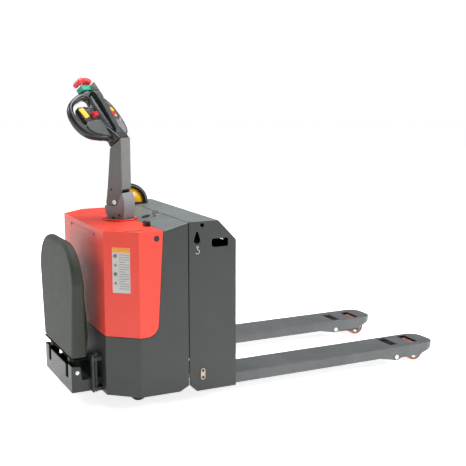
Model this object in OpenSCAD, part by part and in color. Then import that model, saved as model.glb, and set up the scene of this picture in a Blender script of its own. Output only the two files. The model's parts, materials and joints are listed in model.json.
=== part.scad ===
// Powered walk-and-ride pallet truck: drive unit with a steered drive wheel,
// a battery frame that lifts with its forks, a butterfly tiller and a folding platform.
// +X runs to the fork tips, +Z up; the origin is on the floor under the middle of the box.

/* [Overall sizes] */
// Width of the drive unit and the battery frame
body_w = 736; // [640:2:840]
// Fork length from the battery frame to the tips
fork_len = 1060; // [900:10:1250]
// Length of the battery frame along the forks
frame_l = 210; // [190:2:300]
// Length of the drive unit
unit_l = 319; // [312:1:380]
// From the drive unit to the outer face of the folded platform
platform_reach = 121; // [110:1:160]
// Top of the battery frame
frame_top = 747; // [720:1:800]

/* [Drive unit] */
// Underside of the drive unit
unit_low = 57; // [45:1:80]
// Lower edge of the drive cover
cover_low = 300; // [299:1:360]
// Top of the drive cover
cover_top = 721; // [715:1:735]
// Half width of the flat operator face
nose_half = 271; // [240:1:300]
// Length of the corner chamfers along X
nose_run = 111; // [80:1:130]
// Steel wall of the drive unit
unit_wall = 6; // [4:0.5:8]
// Wall of the moulded cover
cover_wall = 4; // [3:0.5:6]
// Thickness of the plate that carries the drive
plate_t = 12; // [8:1:16]
// Underside of that plate
plate_z = 286; // [282:1:288]
// Gap at the seam between the drive unit and the battery frame
seam_gap = 3; // [2:0.5:6]

/* [Drive wheel and steering] */
// Diameter of the drive wheel
drive_d = 230; // [200:2:236]
// Width of the drive wheel
drive_w = 75; // [60:1:80]
// From the operator face to the steering axis
steer_in = 164; // [150:1:175]
// Turn of the tiller at rest
steer_rest = -55; // [-90:1:90]
// Height of the tiller's tilt pin
tilt_z = 796; // [794:1:810]
// Width of the tiller arm
arm_w = 70; // [64:1:80]
// Length of the tiller arm from its tilt pin to the head
arm_l = 247; // [200:1:300]
// Diameter of the tilt pin
tilt_pin_d = 20; // [14:1:24]

/* [Control head] */
// Forward lean of the head against the arm
head_tilt = 38; // [20:1:45]
// How far each side of the head folds back from its middle
head_fold = 14; // [0:1:16]
// Thickness of the grip loops
loop_t = 34; // [30:1:40]
// Size of the whole head outline, 1 is 336 mm wide
head_scale = 1; // [0.9:0.05:1.1]

/* [Forks] */
// Width over both forks
forks_over = 685; // [640:1:730]
// Width of one fork
fork_w = 170; // [164:1:190]
// Height of a fork's side
fork_d = 45; // [42:1:50]
// Height of the fork tops when lowered
fork_top = 93; // [90:1:100]
// Steel thickness of the forks
fork_t = 6; // [5:0.5:8]
// Corner radius of the tips
tip_r = 60; // [40:1:80]
// From the tip to the load arm's pivot
pivot_back = 224; // [215:1:240]
// Length of the load arm
bogie_l = 139; // [130:1:150]
// Diameter of the load wheel
load_d = 82; // [78:1:84]
// Width of the load wheel
load_w = 100; // [90:1:104]
// Diameter of the load arm's pivot pin
bogie_pin_d = 20; // [16:1:22]

/* [Lift] */
// Lift of the forks
lift = 110; // [80:1:110]
// Diameter of the lift rams
ram_d = 30; // [22:1:36]
// Diameter of the cross shaft of the linkage
shaft_d = 25; // [20:1:30]

/* [Platform] */
// Half width of the platform at its hinge
deck_half_low = 215; // [180:1:240]
// Half width of the platform at its end
deck_half_top = 250; // [200:1:280]
// Top of the folded platform
deck_top = 661; // [600:1:700]
// Thickness of the platform at its hinge
deck_t = 66; // [60:1:72]
// Diameter of the platform's hinge pin
deck_pin_d = 16; // [12:1:20]

/* [Casters] */
// Diameter of the caster wheels
caster_d = 80; // [70:1:90]
// Distance of each caster from the centre plane
caster_y = 225; // [215:1:250]

/* [Clearances] */
// Radial running fit of shafts and pins
fit = 0.05; // [0.02:0.01:0.1]
// Gap beside moving parts
side_gap = 1; // [0.5:0.1:2]

/* [Hidden] */
$fn = 64;

// Places along X
overall_l = platform_reach + unit_l + frame_l + fork_len;
x_rear = -overall_l / 2;
x_unit = x_rear + platform_reach;
x_seam = x_unit + unit_l;
x_unit_end = x_seam - seam_gap / 2;
x_case = x_seam + seam_gap / 2;
x_face = x_seam + frame_l;
x_tip = x_face + fork_len;
x_steer = x_unit + steer_in;
half_w = body_w / 2;
inner_w = half_w - unit_wall;

// Drive unit
notch_run = 41;
notch_rise = 21;
cover_edge_top = x_steer + 49;
cover_edge_low = x_steer + 26;
cover_edge_r = 50;
dash_x = cover_edge_top + 2;
dash_t = 5;
dash_rise = frame_top - cover_top;
dash_run = x_unit_end - dash_x;
dash_slope = atan2(dash_rise, dash_run);
plate_top = plate_z + plate_t;
neck_r = 100;
ring_h = 20;
ring_r = 120;
neck_hole_r = 60;
boss_h = 6;
boss_r = 76;
shelf_z = 150;
shelf_t = 8;
shelf_x0 = x_steer - 130;
shelf_x1 = x_steer + 45;
shelf_y = 150;
screw_z = cover_top - 29;
screw_y = 158;
plug_r = 11;

// Battery frame
case_low = fork_top - fork_d;
chamfer_run = 79;
chamfer_rise = 83;
chamfer_z = frame_top - chamfer_rise;
case_wall = 6;
lid_t = 5;
floor_z = 190;
shaft_x = x_face - 151;
shaft_z = 119;
hinge_x = x_face - 8;
hinge_z = chamfer_z - 7;
hinge_r = 7;
hinge_pin_d = 8;
hinge_half = 330;
lid_knuckles = [-220, 0, 220];
knuckle_w = 72;
guide_y0 = inner_w - 47;
guide_wall = 6;
guide_x0 = x_unit_end - 33;
guide_gap = 0.5;
guide_h = 400;
ram_y = 150;
ram_x = x_seam - 37;
ram_top = 570;
guard_r = 87;
barrel_top = 560;
barrel_r = ram_d / 2 + 10;

// Forks and load wheels
fork_y = (forks_over - fork_w) / 2;
slot_in = 12;
wheel_y = fork_y - slot_in;
slot_w = 110;
pivot_x = x_tip - pivot_back;
axle_z = load_d / 2;
pivot_z = axle_z + 5;
rest_drop = asin((pivot_z - axle_z) / bogie_l);
axle_x = pivot_x + bogie_l * cos(rest_drop);
bogie_turn = asin((lift + pivot_z - axle_z) / bogie_l) - rest_drop;
lever_r = 26;
lever_pin_d = 12;
rod_eye_d = lever_pin_d + 8;
rod_t = 12;
rod_h = 18;
rod_travel = 2 * lever_r * sin(bogie_turn / 2);
rod_z = pivot_z + lever_r * (1 + cos(bogie_turn / 2)) / 2;
rod_x1 = pivot_x - lever_r * sin(bogie_turn / 2);
rod_y = wheel_y + 14;
rod_eye_r = 13.5;
crank_r = 30;
crank_half = asin(rod_travel / 2 / crank_r);
crank_z = shaft_z - crank_r * (1 + cos(crank_half)) / 2;
crank_x = shaft_x - crank_r * sin(crank_half);
crank_arm = lift / 2 / sin(crank_half);
crank_y = 305;
anchor_x = shaft_x - crank_arm * (1 + cos(crank_half)) / 2;
anchor_z = shaft_z + lift / 2;
anchor_pin_d = 16;
nose_rise = 15;
ear_x0 = pivot_x - 94;
ear_x1 = x_tip - 84;
x_nose = ear_x1 + 10;
ear_drop = 17;
skirt_drop = 9;

// Tiller
cheek_t = 12;
block_half = arm_w / 2 - cheek_t - side_gap;
disc_r = 46;
base_z = tilt_z - 70;
head_x = 8;
head_z = tilt_z + arm_l;
arm_mid_z = tilt_z + 62;
loop_m = loop_t / 2;
axle_d = 40;
column_y = 88;
column_z = 690;
flange_top = plate_top + ring_h + 12.3;
arm_front = -20;
arm_back = 37;
fold_lap = 4;
head_reach = 300;
knob_d = 142;
knob_m = -9;
knob_r = 15;
knob_in = 40;
knob_w = 34;
knob_pin_d = 10;
button_at = [99, 160];
button_w = 26;
button_l = 46;

// Platform
deck_low = 198;
deck_pivot_x = x_rear + 24;
deck_pivot_z = 140;
deck_end_t = 40;
deck_corner = 160;
bracket_half = 198;
bracket_t = 8;
bracket_low = unit_low + 1;
ear_y = 130;
ear_t = 28;
slot_half = 18;

// Casters
caster_x = x_steer - 42;
caster_trail = 28;
caster_cheek = 4;
caster_w = 32;
caster_top = shelf_z - 0.5;

// Plan outline of the drive unit, moved in by w
function unit_plan(w, x_end) =
    let (
        dy = half_w - nose_half,
        run = norm([nose_run, dy]),
        y1 = nose_half - w * (run - dy) / nose_run,
        x2 = x_unit + nose_run + w * (run - nose_run) / dy,
        y2 = half_w - w
    )
    [[x_unit + w, -y1], [x2, -y2], [x_end, -y2], [x_end, y2], [x2, y2], [x_unit + w, y1]];

// Side outline of the drive cover, grown by g
function cover_side(g) = concat(
    [[x_unit - 10, cover_top + 60], [cover_edge_top + g, cover_top + 60],
     [cover_edge_top + g, cover_top]],
    [for (a = [0 : -15 : -90])
        [cover_edge_low - cover_edge_r + (cover_edge_r + g) * cos(a),
         cover_low + cover_edge_r + (cover_edge_r + g) * sin(a)]],
    [[x_unit - 10, cover_low - g]]);

// Height of the dash at x
function dash_z(x) = cover_top + (x - dash_x) * dash_rise / dash_run;

// Half outline of the control head, from the neck round the right loop to the top
head_half = [[35, 0], [50, 22], [92, 36], [138, 60], [162, 96], [168, 140], [160, 186],
    [138, 218], [100, 242], [52, 256], [0, 260]];

// Half outline of one finger opening between the centre panel and the grip loop
grip_gap = [[124, 120], [138, 132], [140, 158], [134, 186], [116, 208], [80, 222],
    [40, 224], [34, 208], [44, 190], [66, 182], [84, 192], [106, 198], [120, 180], [124, 150]];

// A smooth closed curve through points p, s steps a span
function smooth(p, s) = [for (i = [0 : len(p) - 1], k = [0 : s - 1])
    let (n = len(p), t = k / s, a = p[(i + n - 1) % n], b = p[i], c = p[(i + 1) % n],
        d = p[(i + 2) % n])
    b + t * (c - a) / 2 + t * t * (2 * a - 5 * b + 4 * c - d) / 2
        + t * t * t * (3 * b - a - 3 * c + d) / 2];

function mirrored(p) = [for (q = p) [-q[0], q[1]]];
function reversed(p) = [for (i = [len(p) - 1 : -1 : 0]) p[i]];
function scaled(p) = [for (q = p) [q[0] * head_scale, q[1] * head_scale]];

// An outline in X and Z, made w wide about the centre plane
module side_slab(pts, w) {
    rotate([90, 0, 0]) linear_extrude(height = w, center = true) polygon(pts);
}

// An outline in X and Z, from y0 to y0 + t
module side_plate(pts, y0, t) {
    translate([0, y0 + t, 0]) rotate([90, 0, 0]) linear_extrude(height = t) polygon(pts);
}

// A rod along Y from y0 to y1
module cross_rod(x, y0, y1, z, d) {
    translate([x, y0, z]) rotate([-90, 0, 0]) cylinder(h = y1 - y0, d = d);
}

module box_at(x0, x1, y0, y1, z0, z1) {
    translate([x0, y0, z0]) cube([x1 - x0, y1 - y0, z1 - z0]);
}

module both_sides() {
    children();
    mirror([0, 1, 0]) children();
}

module at_steer() {
    translate([x_steer, 0, 0]) rotate([0, 0, steer_rest]) children();
}

// Head frame: X across, Y up the head, Z out of the control face
module at_head() {
    at_steer() translate([head_x, 0, head_z]) rotate([0, -head_tilt, 0])
        rotate([90, 0, 90]) children();
}

module on_dash(x, y) {
    translate([x, y, dash_z(x)]) rotate([0, -dash_slope, 0]) children();
}

// ---- Drive unit

module chassis_shell() {
    color([0.25, 0.27, 0.26]) {
        difference() {
            translate([0, 0, unit_low]) linear_extrude(height = frame_top - unit_low)
                polygon(unit_plan(0, x_unit_end));
            translate([0, 0, unit_low - 1]) linear_extrude(height = frame_top)
                polygon(unit_plan(unit_wall, x_unit_end + 1));
            side_slab(cover_side(0), body_w + 2);
            side_slab([[dash_x - 9, dash_z(dash_x - 9) - dash_t], [x_unit_end + 9,
                dash_z(x_unit_end + 9) - dash_t], [x_unit_end + 9, frame_top + 9],
                [dash_x - 9, frame_top + 9]], body_w + 2);
            side_slab([[x_unit_end - notch_run, unit_low - 1], [x_unit_end + 1, unit_low - 1],
                [x_unit_end + 1, unit_low + notch_rise]], body_w + 2);
        }
        both_sides() difference() {
            box_at(shelf_x0, shelf_x1, shelf_y, inner_w, shelf_z, shelf_z + shelf_t);
            translate([0, 0, shelf_z - 1]) linear_extrude(height = shelf_t + 2)
                polygon([[x_unit, nose_half - 40], [x_unit + nose_run, half_w - unit_wall],
                    [x_unit, half_w]]);
            translate([caster_x, caster_y, shelf_z - 1]) cylinder(h = 20, d = 20 + 2 * fit);
        }
    }
}

module drive_cover() {
    color([0.88, 0.2, 0.16]) intersection() {
        difference() {
            translate([0, 0, cover_low]) linear_extrude(height = cover_top - cover_low)
                polygon(unit_plan(0, x_unit_end));
            translate([0, 0, cover_low - 1])
                linear_extrude(height = cover_top - cover_low + 1 - cover_wall)
                polygon(unit_plan(cover_wall, x_unit_end + 1));
            translate([x_steer, 0, cover_top - 20]) cylinder(h = 40, r = neck_hole_r);
            both_sides() translate([x_unit - 1, screw_y, screw_z]) rotate([0, 90, 0])
                cylinder(h = 20, d = 7);
            both_sides() translate([cover_edge_top - 28, half_w + 1, screw_z])
                rotate([90, 0, 0]) cylinder(h = 20, r = plug_r);
        }
        side_slab(cover_side(-0.5), body_w + 2);
    }
}

module cover_boss() {
    color([0.85, 0.18, 0.15]) translate([x_steer, 0, cover_top]) rotate([0, 0, 22.5])
        difference() {
            cylinder(h = boss_h, r = boss_r, $fn = 8);
            translate([0, 0, -1]) cylinder(h = boss_h + 2, r = neck_hole_r);
        }
}

module dash_panel() {
    color([0.4, 0.42, 0.43]) difference() {
        side_slab([[dash_x, cover_top], [x_unit_end, frame_top], [x_unit_end,
            frame_top - dash_t], [dash_x, cover_top - dash_t]], body_w);
        on_dash(x_seam - 29, -92) translate([0, 0, -20]) cylinder(h = 40, r = 11);
        on_dash(x_seam - 59, -56) translate([0, 0, -20]) cylinder(h = 40, r = 16);
        translate([x_steer, 0, cover_top - 10]) rotate([0, 0, 22.5])
            cylinder(h = 60, r = boss_r + 1, $fn = 8);
    }
}

module cover_screws() {
    color([0.12, 0.12, 0.12]) both_sides() {
        translate([x_unit - 1.5, screw_y, screw_z]) rotate([0, 90, 0]) {
            cylinder(h = 1.5, r = 6);
            cylinder(h = 14, d = 7);
        }
        translate([cover_edge_top - 28, half_w + 1, screw_z]) rotate([90, 0, 0])
            cylinder(h = 6, r = plug_r);
    }
}

module drive_plate() {
    color([0.3, 0.3, 0.3]) difference() {
        translate([0, 0, plate_z]) linear_extrude(height = plate_t)
            polygon(unit_plan(unit_wall, x_unit_end));
        translate([x_steer, 0, plate_z - 1]) cylinder(h = plate_t + 2, r = neck_r + 5);
    }
}

module slewing_ring() {
    color([0.6, 0.6, 0.62]) translate([x_steer, 0, plate_top]) difference() {
        cylinder(h = ring_h, r = ring_r);
        translate([0, 0, -1]) cylinder(h = ring_h + 2, r = neck_r);
        for (a = [0 : 30 : 330]) rotate([0, 0, a]) translate([neck_r + 10, 0, -1])
            cylinder(h = ring_h + 2, d = 7, $fn = 24);
    }
}

module hydraulic_unit() {
    color([0.2, 0.2, 0.22]) {
        box_at(x_steer - 10, x_steer + 115, -inner_w + 17, -200, plate_top, plate_top + 170);
        translate([x_steer + 52, -272, plate_top + 170]) cylinder(h = 130, r = 45);
        translate([x_steer + 52, -272, plate_top + 300]) cylinder(h = 12, r = 20);
    }
}

module lift_cylinders() {
    color([0.22, 0.22, 0.22]) both_sides() translate([ram_x, ram_y, plate_top]) {
        difference() {
            cylinder(h = barrel_top - plate_top, r = barrel_r);
            translate([0, 0, 10]) cylinder(h = barrel_top, d = ram_d + 2 * fit);
        }
    }
}

module motor_controller() {
    color([0.3, 0.32, 0.33]) {
        box_at(x_steer - 10, x_steer + 115, 200, inner_w - 17, plate_top, plate_top + 60);
        for (i = [0 : 7]) box_at(x_steer - 8 + i * 16, x_steer + i * 16, 210, inner_w - 27,
            plate_top + 60, plate_top + 95);
    }
}

module guide_channels() {
    color([0.35, 0.35, 0.36]) both_sides() difference() {
        box_at(guide_x0, x_unit_end - 3, guide_y0, inner_w, plate_top, plate_top + guide_h);
        box_at(guide_x0 + guide_wall, x_unit_end, guide_y0 + guide_wall,
            inner_w - guide_wall, plate_top - 1, plate_top + guide_h + 1);
    }
}

module platform_bracket() {
    color([0.2, 0.22, 0.21]) difference() {
        union() {
            box_at(x_rear, x_rear + bracket_t, -bracket_half, bracket_half, bracket_low, 160);
            both_sides() {
                box_at(x_rear, x_rear + bracket_t, ear_y, bracket_half, 159, 169);
                side_plate([[x_rear, bracket_low], [x_unit, bracket_low], [x_unit, 110],
                    [x_rear + 44, 110], [x_rear + 38, 165], [x_rear, 169]],
                    bracket_half - bracket_t, bracket_t);
            }
            box_at(x_rear, x_unit, -bracket_half, bracket_half, bracket_low,
                bracket_low + bracket_t);
        }
        both_sides() box_at(x_rear - 1, x_rear + bracket_t + 1, ear_y - slot_half,
            ear_y + slot_half, 108, 180);
        cross_rod(deck_pivot_x, -bracket_half - 1, bracket_half + 1, deck_pivot_z, deck_pin_d);
    }
}

module platform_posts() {
    color([0.35, 0.36, 0.35]) both_sides() translate([0, bracket_half + 14, 0]) {
        translate([x_unit - 24, 0, bracket_low]) cylinder(h = 154, d = 14);
        translate([x_unit - 24, 0, bracket_low + 154]) cylinder(h = 6, d = 22);
        box_at(x_unit - 42, x_unit - 34, -12, 12, bracket_low, bracket_low + 156);
        for (z = [bracket_low + 4, bracket_low + 130])
            difference() {
                box_at(x_unit - 34, x_unit, -10, 10, z, z + 14);
                translate([x_unit - 24, 0, z - 1]) cylinder(h = 16, d = 14);
            }
    }
}

module platform_pin() {
    color([0.65, 0.65, 0.65])
        cross_rod(deck_pivot_x, -bracket_half - 1, bracket_half + 1, deck_pivot_z, deck_pin_d);
}

module link_anchors() {
    color([0.3, 0.3, 0.3]) both_sides() {
        cross_rod(anchor_x, crank_y - 9, inner_w, anchor_z, anchor_pin_d);
        cross_rod(anchor_x, crank_y + 20, inner_w, anchor_z, 40);
    }
}

module charge_gauge() {
    color([0.1, 0.1, 0.1]) on_dash(x_seam - 59, -56) {
        translate([0, 0, -18]) cylinder(h = 18, r = 15.5);
        cylinder(h = 3, r = 18);
    }
}

module key_switch() {
    color([0.7, 0.7, 0.7]) on_dash(x_seam - 29, -92) difference() {
        union() {
            translate([0, 0, -19]) cylinder(h = 20, r = 10.5);
            cylinder(h = 3, r = 14);
        }
        translate([0, 0, -10]) cylinder(h = 20, d = 10);
    }
}

module key() {
    color([0.75, 0.75, 0.72]) on_dash(x_seam - 29, -92) {
        translate([0, 0, -9]) cylinder(h = 14, d = 10 - 2 * fit);
        translate([-12, -2, 5]) cube([24, 4, 16]);
    }
}

// ---- Battery frame

case_side = [[x_case, case_low + 30], [x_case + 32, case_low], [x_face, case_low],
    [x_face, chamfer_z], [x_face - chamfer_run, frame_top], [x_case, frame_top]];

module keyhole_cut() {
    translate([x_case + 36, 0, frame_top - 75]) rotate([90, 0, 0])
        linear_extrude(height = 60, center = true) {
            circle(r = 13.5);
            polygon([[-13, 3], [13, 3], [5, 30], [-5, 30]]);
            translate([0, 29]) circle(r = 5);
        }
}

module slot_cut() {
    translate([x_case + 136, 0, frame_top - 90]) rotate([90, 0, 0])
        linear_extrude(height = 60, center = true) {
            square([54, 34], center = true);
            square([72, 16], center = true);
            for (x = [-27, 27], y = [-8, 8]) translate([x, y]) circle(r = 9);
        }
}

module frame_sides() {
    color([0.27, 0.29, 0.28]) both_sides() difference() {
        side_plate(case_side, inner_w, case_wall);
        translate([0, half_w, 0]) keyhole_cut();
        translate([0, half_w, 0]) slot_cut();
        cross_rod(x_case + 58, inner_w - 1, half_w + 1, frame_top - 15, 16);
        cross_rod(shaft_x, inner_w - 1, half_w + 1, shaft_z, shaft_d + 2 * fit);
    }
}

module frame_face() {
    color([0.27, 0.29, 0.28]) difference() {
        union() {
            box_at(x_face - case_wall, x_face, -inner_w, inner_w, case_low, hinge_z - 4);
            cross_rod(hinge_x, -hinge_half, hinge_half, hinge_z, 2 * hinge_r);
        }
        both_sides() box_at(x_face - 20, x_face + 1, rod_y - 10, rod_y + 10,
            rod_z - 14, rod_z + 14);
        for (y = lid_knuckles) box_at(hinge_x - 20, x_face + 1, y - knuckle_w / 2 - 0.5,
            y + knuckle_w / 2 + 0.5, hinge_z - 12, hinge_z + 20);
        both_sides() box_at(x_face - 20, x_face + 1, hinge_half, half_w, hinge_z - 12, hinge_z);
        cross_rod(hinge_x, -half_w, half_w, hinge_z, hinge_pin_d);
    }
}

module battery_tray() {
    color([0.27, 0.29, 0.28]) {
        box_at(x_case, x_case + case_wall, -inner_w, inner_w, floor_z, frame_top - lid_t - 2);
        box_at(x_case + case_wall, x_face - case_wall, -inner_w, inner_w, floor_z,
            floor_z + case_wall);
    }
}

// Guide blocks that run in the channels, and the pads that the rams push on
module lift_brackets() {
    color([0.3, 0.32, 0.31]) both_sides() {
        box_at(guide_x0 + guide_wall + guide_gap, x_case, guide_y0 + guide_wall + guide_gap,
            inner_w - guide_wall - guide_gap, floor_z + 130, floor_z + 290);
        box_at(ram_x - 18, x_case, ram_y - 20, ram_y + 20, ram_top, ram_top + 20);
    }
}

module battery() {
    color([0.16, 0.16, 0.18]) {
        box_at(x_case + case_wall + 4, x_face - case_wall - 4, -inner_w + 22, inner_w - 22,
            floor_z + case_wall, 610);
        for (i = [0 : 11]) translate([(x_case + x_face) / 2, -286 + i * 52, 610])
            cylinder(h = 14, r = 16);
    }
}

module lid_shape() {
    side_slab([[x_case + 1, frame_top], [x_face - chamfer_run, frame_top], [x_face - 1,
        chamfer_z + 1], [x_face - 5, chamfer_z - 3], [x_face - chamfer_run - 2,
        frame_top - lid_t], [x_case + 1, frame_top - lid_t]], 2 * (inner_w - side_gap));
}

module battery_lid() {
    color([0.45, 0.47, 0.48]) difference() {
        union() {
            difference() {
                lid_shape();
                difference() {
                    cross_rod(hinge_x, -hinge_half - 0.5, hinge_half + 0.5, hinge_z, 25);
                    for (y = lid_knuckles) box_at(hinge_x - 20, x_face + 1,
                        y - knuckle_w / 2, y + knuckle_w / 2, hinge_z - 20, hinge_z + 20);
                }
            }
            for (y = lid_knuckles) cross_rod(hinge_x, y - knuckle_w / 2, y + knuckle_w / 2,
                hinge_z, 2 * hinge_r);
        }
        cross_rod(hinge_x, -half_w, half_w, hinge_z, hinge_pin_d + 2 * fit);
    }
}

module retainer_plates() {
    color([0.72, 0.66, 0.58]) both_sides() difference() {
        translate([shaft_x, half_w + 3, shaft_z]) rotate([90, 0, 0]) linear_extrude(height = 3) {
            square([20, 28], center = true);
            for (z = [-14, 14]) translate([0, z]) circle(r = 10);
        }
        for (z = [-14, 14]) cross_rod(shaft_x, half_w - 1, half_w + 9, shaft_z + z, 7);
    }
}

module retainer_screws() {
    color([0.12, 0.12, 0.12]) both_sides() for (z = [-14, 14]) {
        cross_rod(shaft_x, half_w, half_w + 3, shaft_z + z, 7);
        cross_rod(shaft_x, half_w + 3, half_w + 4.5, shaft_z + z, 11);
    }
}

module lift_rams() {
    color([0.8, 0.8, 0.82]) both_sides() translate([ram_x, ram_y, plate_top + 12])
        cylinder(h = ram_top - plate_top - 12, d = ram_d);
}

module round_guard() {
    color([0.95, 0.72, 0.15]) translate([x_seam - 28, 240, frame_top + 1])
        rotate([90, 0, 0]) linear_extrude(height = 24, center = true) difference() {
            translate([0, 6]) circle(r = guard_r);
            translate([-100, -120]) square([200, 120]);
        }
    color([0.1, 0.1, 0.1]) box_at(x_case + 1, x_case + 50, 228, 252, frame_top,
        frame_top + 1);
}

// ---- Forks

module fork_body() {
    tip_flat = fork_w / 2 - tip_r;
    difference() {
        union() {
            translate([0, fork_y, case_low]) linear_extrude(height = fork_d) {
                translate([x_face, -fork_w / 2]) square([fork_len - tip_r, fork_w]);
                translate([x_face, -tip_flat]) square([fork_len, 2 * tip_flat]);
                for (s = [-1, 1]) translate([x_tip - tip_r, s * tip_flat]) circle(r = tip_r);
            }
            for (y = [fork_y - fork_w / 2, fork_y + fork_w / 2 - fork_t])
                side_plate([[ear_x0, case_low + 1], [pivot_x - 8, case_low - ear_drop],
                    [pivot_x + 8, case_low - ear_drop], [pivot_x + 28, case_low - skirt_drop],
                    [ear_x1, case_low - skirt_drop], [x_nose, case_low + 1]],
                    y, fork_t);
        }
        box_at(x_face - 1, x_tip - tip_r + 10, fork_y - fork_w / 2 + fork_t,
            fork_y + fork_w / 2 - fork_t, 0, fork_top - fork_t);
        box_at(x_tip - tip_r, axle_x + load_d / 2 + 4, wheel_y - slot_w / 2,
            wheel_y + slot_w / 2, 0, fork_top - fork_t);
        side_plate([[x_nose, case_low - 1], [x_tip + 1, case_low - 1],
            [x_tip + 1, case_low + nose_rise + 1], [x_tip - 20, case_low + nose_rise]],
            fork_y - fork_w, 2 * fork_w);
        box_at(pivot_x - 8, pivot_x + 34, wheel_y - slot_w / 2, wheel_y + slot_w / 2,
            case_low, fork_top + 1);
        box_at(pivot_x + 104, pivot_x + 149, wheel_y - slot_w / 2, wheel_y + slot_w / 2,
            case_low, fork_top + 1);
        cross_rod(pivot_x, 0, body_w, pivot_z, bogie_pin_d);
    }
}

module fork_left() {
    color([0.42, 0.45, 0.47]) fork_body();
}

module fork_right() {
    color([0.42, 0.45, 0.47]) mirror([0, 1, 0]) fork_body();
}

module frame_pins() {
    color([0.75, 0.75, 0.75]) {
        both_sides() cross_rod(pivot_x, fork_y - fork_w / 2, fork_y + fork_w / 2 + 1, pivot_z,
            bogie_pin_d);
        cross_rod(hinge_x, -hinge_half, hinge_half, hinge_z, hinge_pin_d);
    }
}

module bogie() {
    arm_y = load_w / 2 + side_gap;
    arm_t = 9;
    rod_in = rod_y - wheel_y - rod_t / 2;
    color([0.25, 0.25, 0.26]) translate([0, wheel_y, 0]) difference() {
        union() {
            cross_rod(pivot_x, -arm_y - arm_t, rod_in - side_gap, pivot_z, 32);
            cross_rod(pivot_x, rod_in + rod_t + side_gap, arm_y + arm_t, pivot_z, 32);
            for (y = [-arm_y - arm_t, arm_y]) side_plate([[pivot_x, pivot_z - 15],
                [axle_x, axle_z - 15], [axle_x + 15, axle_z], [axle_x, axle_z + 15],
                [pivot_x, pivot_z + 15]], y, arm_t);
            cross_rod(axle_x, -arm_y - 1, arm_y + 1, axle_z, 20);
            translate([pivot_x, 0, pivot_z]) rotate([0, -bogie_turn / 2, 0])
                box_at(-8, 8, -6, 6, 0, lever_r);
            translate([pivot_x, 0, pivot_z]) rotate([0, -bogie_turn / 2, 0])
                cross_rod(0, -6, 22, lever_r, lever_pin_d);
            translate([pivot_x, 0, pivot_z]) rotate([0, -bogie_turn / 2, 0])
                cross_rod(0, -6, 6, lever_r, 16);
        }
        cross_rod(pivot_x, -100, 100, pivot_z, bogie_pin_d + 2 * fit);
    }
}

module bogie_left() {
    bogie();
}

module bogie_right() {
    mirror([0, 1, 0]) bogie();
}

module load_wheel() {
    color([0.45, 0.2, 0.16]) translate([0, wheel_y, 0]) difference() {
        cross_rod(axle_x, -load_w / 2, load_w / 2, axle_z, load_d);
        cross_rod(axle_x, -load_w, load_w, axle_z, 20 + 2 * fit);
        for (s = [-1, 1]) translate([0, s * (load_w / 2 + 3), 0]) difference() {
            cross_rod(axle_x, -5, 5, axle_z, load_d - 16);
            cross_rod(axle_x, -6, 6, axle_z, 34);
        }
    }
}

module load_wheel_left() {
    load_wheel();
}

module load_wheel_right() {
    mirror([0, 1, 0]) load_wheel();
}

module push_rod() {
    color([0.3, 0.3, 0.3]) difference() {
        union() {
            side_plate([[crank_x - 12, crank_z - 10], [crank_x + 28, rod_z - rod_h / 2],
                [rod_x1, rod_z - rod_h / 2], [rod_x1, rod_z + rod_h / 2],
                [crank_x + 50, rod_z + rod_h / 2], [crank_x + 12, crank_z + 10]],
                rod_y - rod_t / 2, rod_t);
            cross_rod(rod_x1, rod_y - rod_t / 2, rod_y + rod_t / 2, rod_z, 2 * rod_eye_r);
            cross_rod(crank_x, rod_y - rod_t / 2, rod_y + rod_t / 2, crank_z, 2 * rod_eye_r);
        }
        cross_rod(rod_x1, rod_y - rod_t, rod_y + rod_t, rod_z, rod_eye_d);
        cross_rod(crank_x, rod_y - rod_t, rod_y + rod_t, crank_z, rod_eye_d);
    }
}

module push_rod_left() {
    push_rod();
}

module push_rod_right() {
    mirror([0, 1, 0]) push_rod();
}

module link_shaft() {
    crank_h = 18;
    color([0.33, 0.33, 0.34]) {
        cross_rod(shaft_x, -half_w + 0.5, half_w - 0.5, shaft_z, shaft_d);
        both_sides() {
            translate([shaft_x, 0, shaft_z]) rotate([0, crank_half, 0]) {
                box_at(-9, 9, rod_y - 18, rod_y - 8, -crank_r, 0);
                cross_rod(0, rod_y - 18, rod_y + 8, -crank_r, lever_pin_d);
                cross_rod(0, rod_y - 18, rod_y - 8, -crank_r, 18);
            }
            translate([shaft_x, 0, shaft_z]) rotate([0, crank_half, 0]) difference() {
                box_at(-crank_arm - 18, 0, crank_y - 5, crank_y + 5, -crank_h, crank_h);
                box_at(-crank_arm - 19, -crank_arm + 18, crank_y - 6, crank_y + 6,
                    -anchor_pin_d / 2 - 3, anchor_pin_d / 2 + 3);
            }
        }
    }
}

// ---- Steered drive

module drive_housing() {
    color([0.35, 0.36, 0.37]) at_steer() {
        translate([0, 0, plate_z - 28]) cylinder(h = 60, r = neck_r - fit);
        translate([0, 0, plate_top + ring_h + 0.3]) cylinder(h = 12, r = neck_r + 15);
        box_at(-45, 45, drive_w / 2 + 8, drive_w / 2 + 48, drive_d / 2, plate_z - 27);
        cross_rod(0, drive_w / 2 + 8, drive_w / 2 + 48, drive_d / 2, 90);
        cross_rod(0, -drive_w / 2 + 4, drive_w / 2 + 9, drive_d / 2, axle_d);
    }
}

module drive_motor() {
    color([0.2, 0.21, 0.22]) at_steer() {
        translate([0, 0, flange_top]) cylinder(h = 190, r = 75);
        for (s = [-1, 1]) box_at(60, 86, s * 25 - 8, s * 25 + 8, flange_top + 130,
            flange_top + 150);
    }
}

module motor_brake() {
    color([0.5, 0.5, 0.5]) at_steer() translate([0, 0, flange_top + 190]) {
        cylinder(h = 30, r = 55);
        translate([0, 0, 30]) cylinder(h = 8, r = 20);
    }
}

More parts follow.
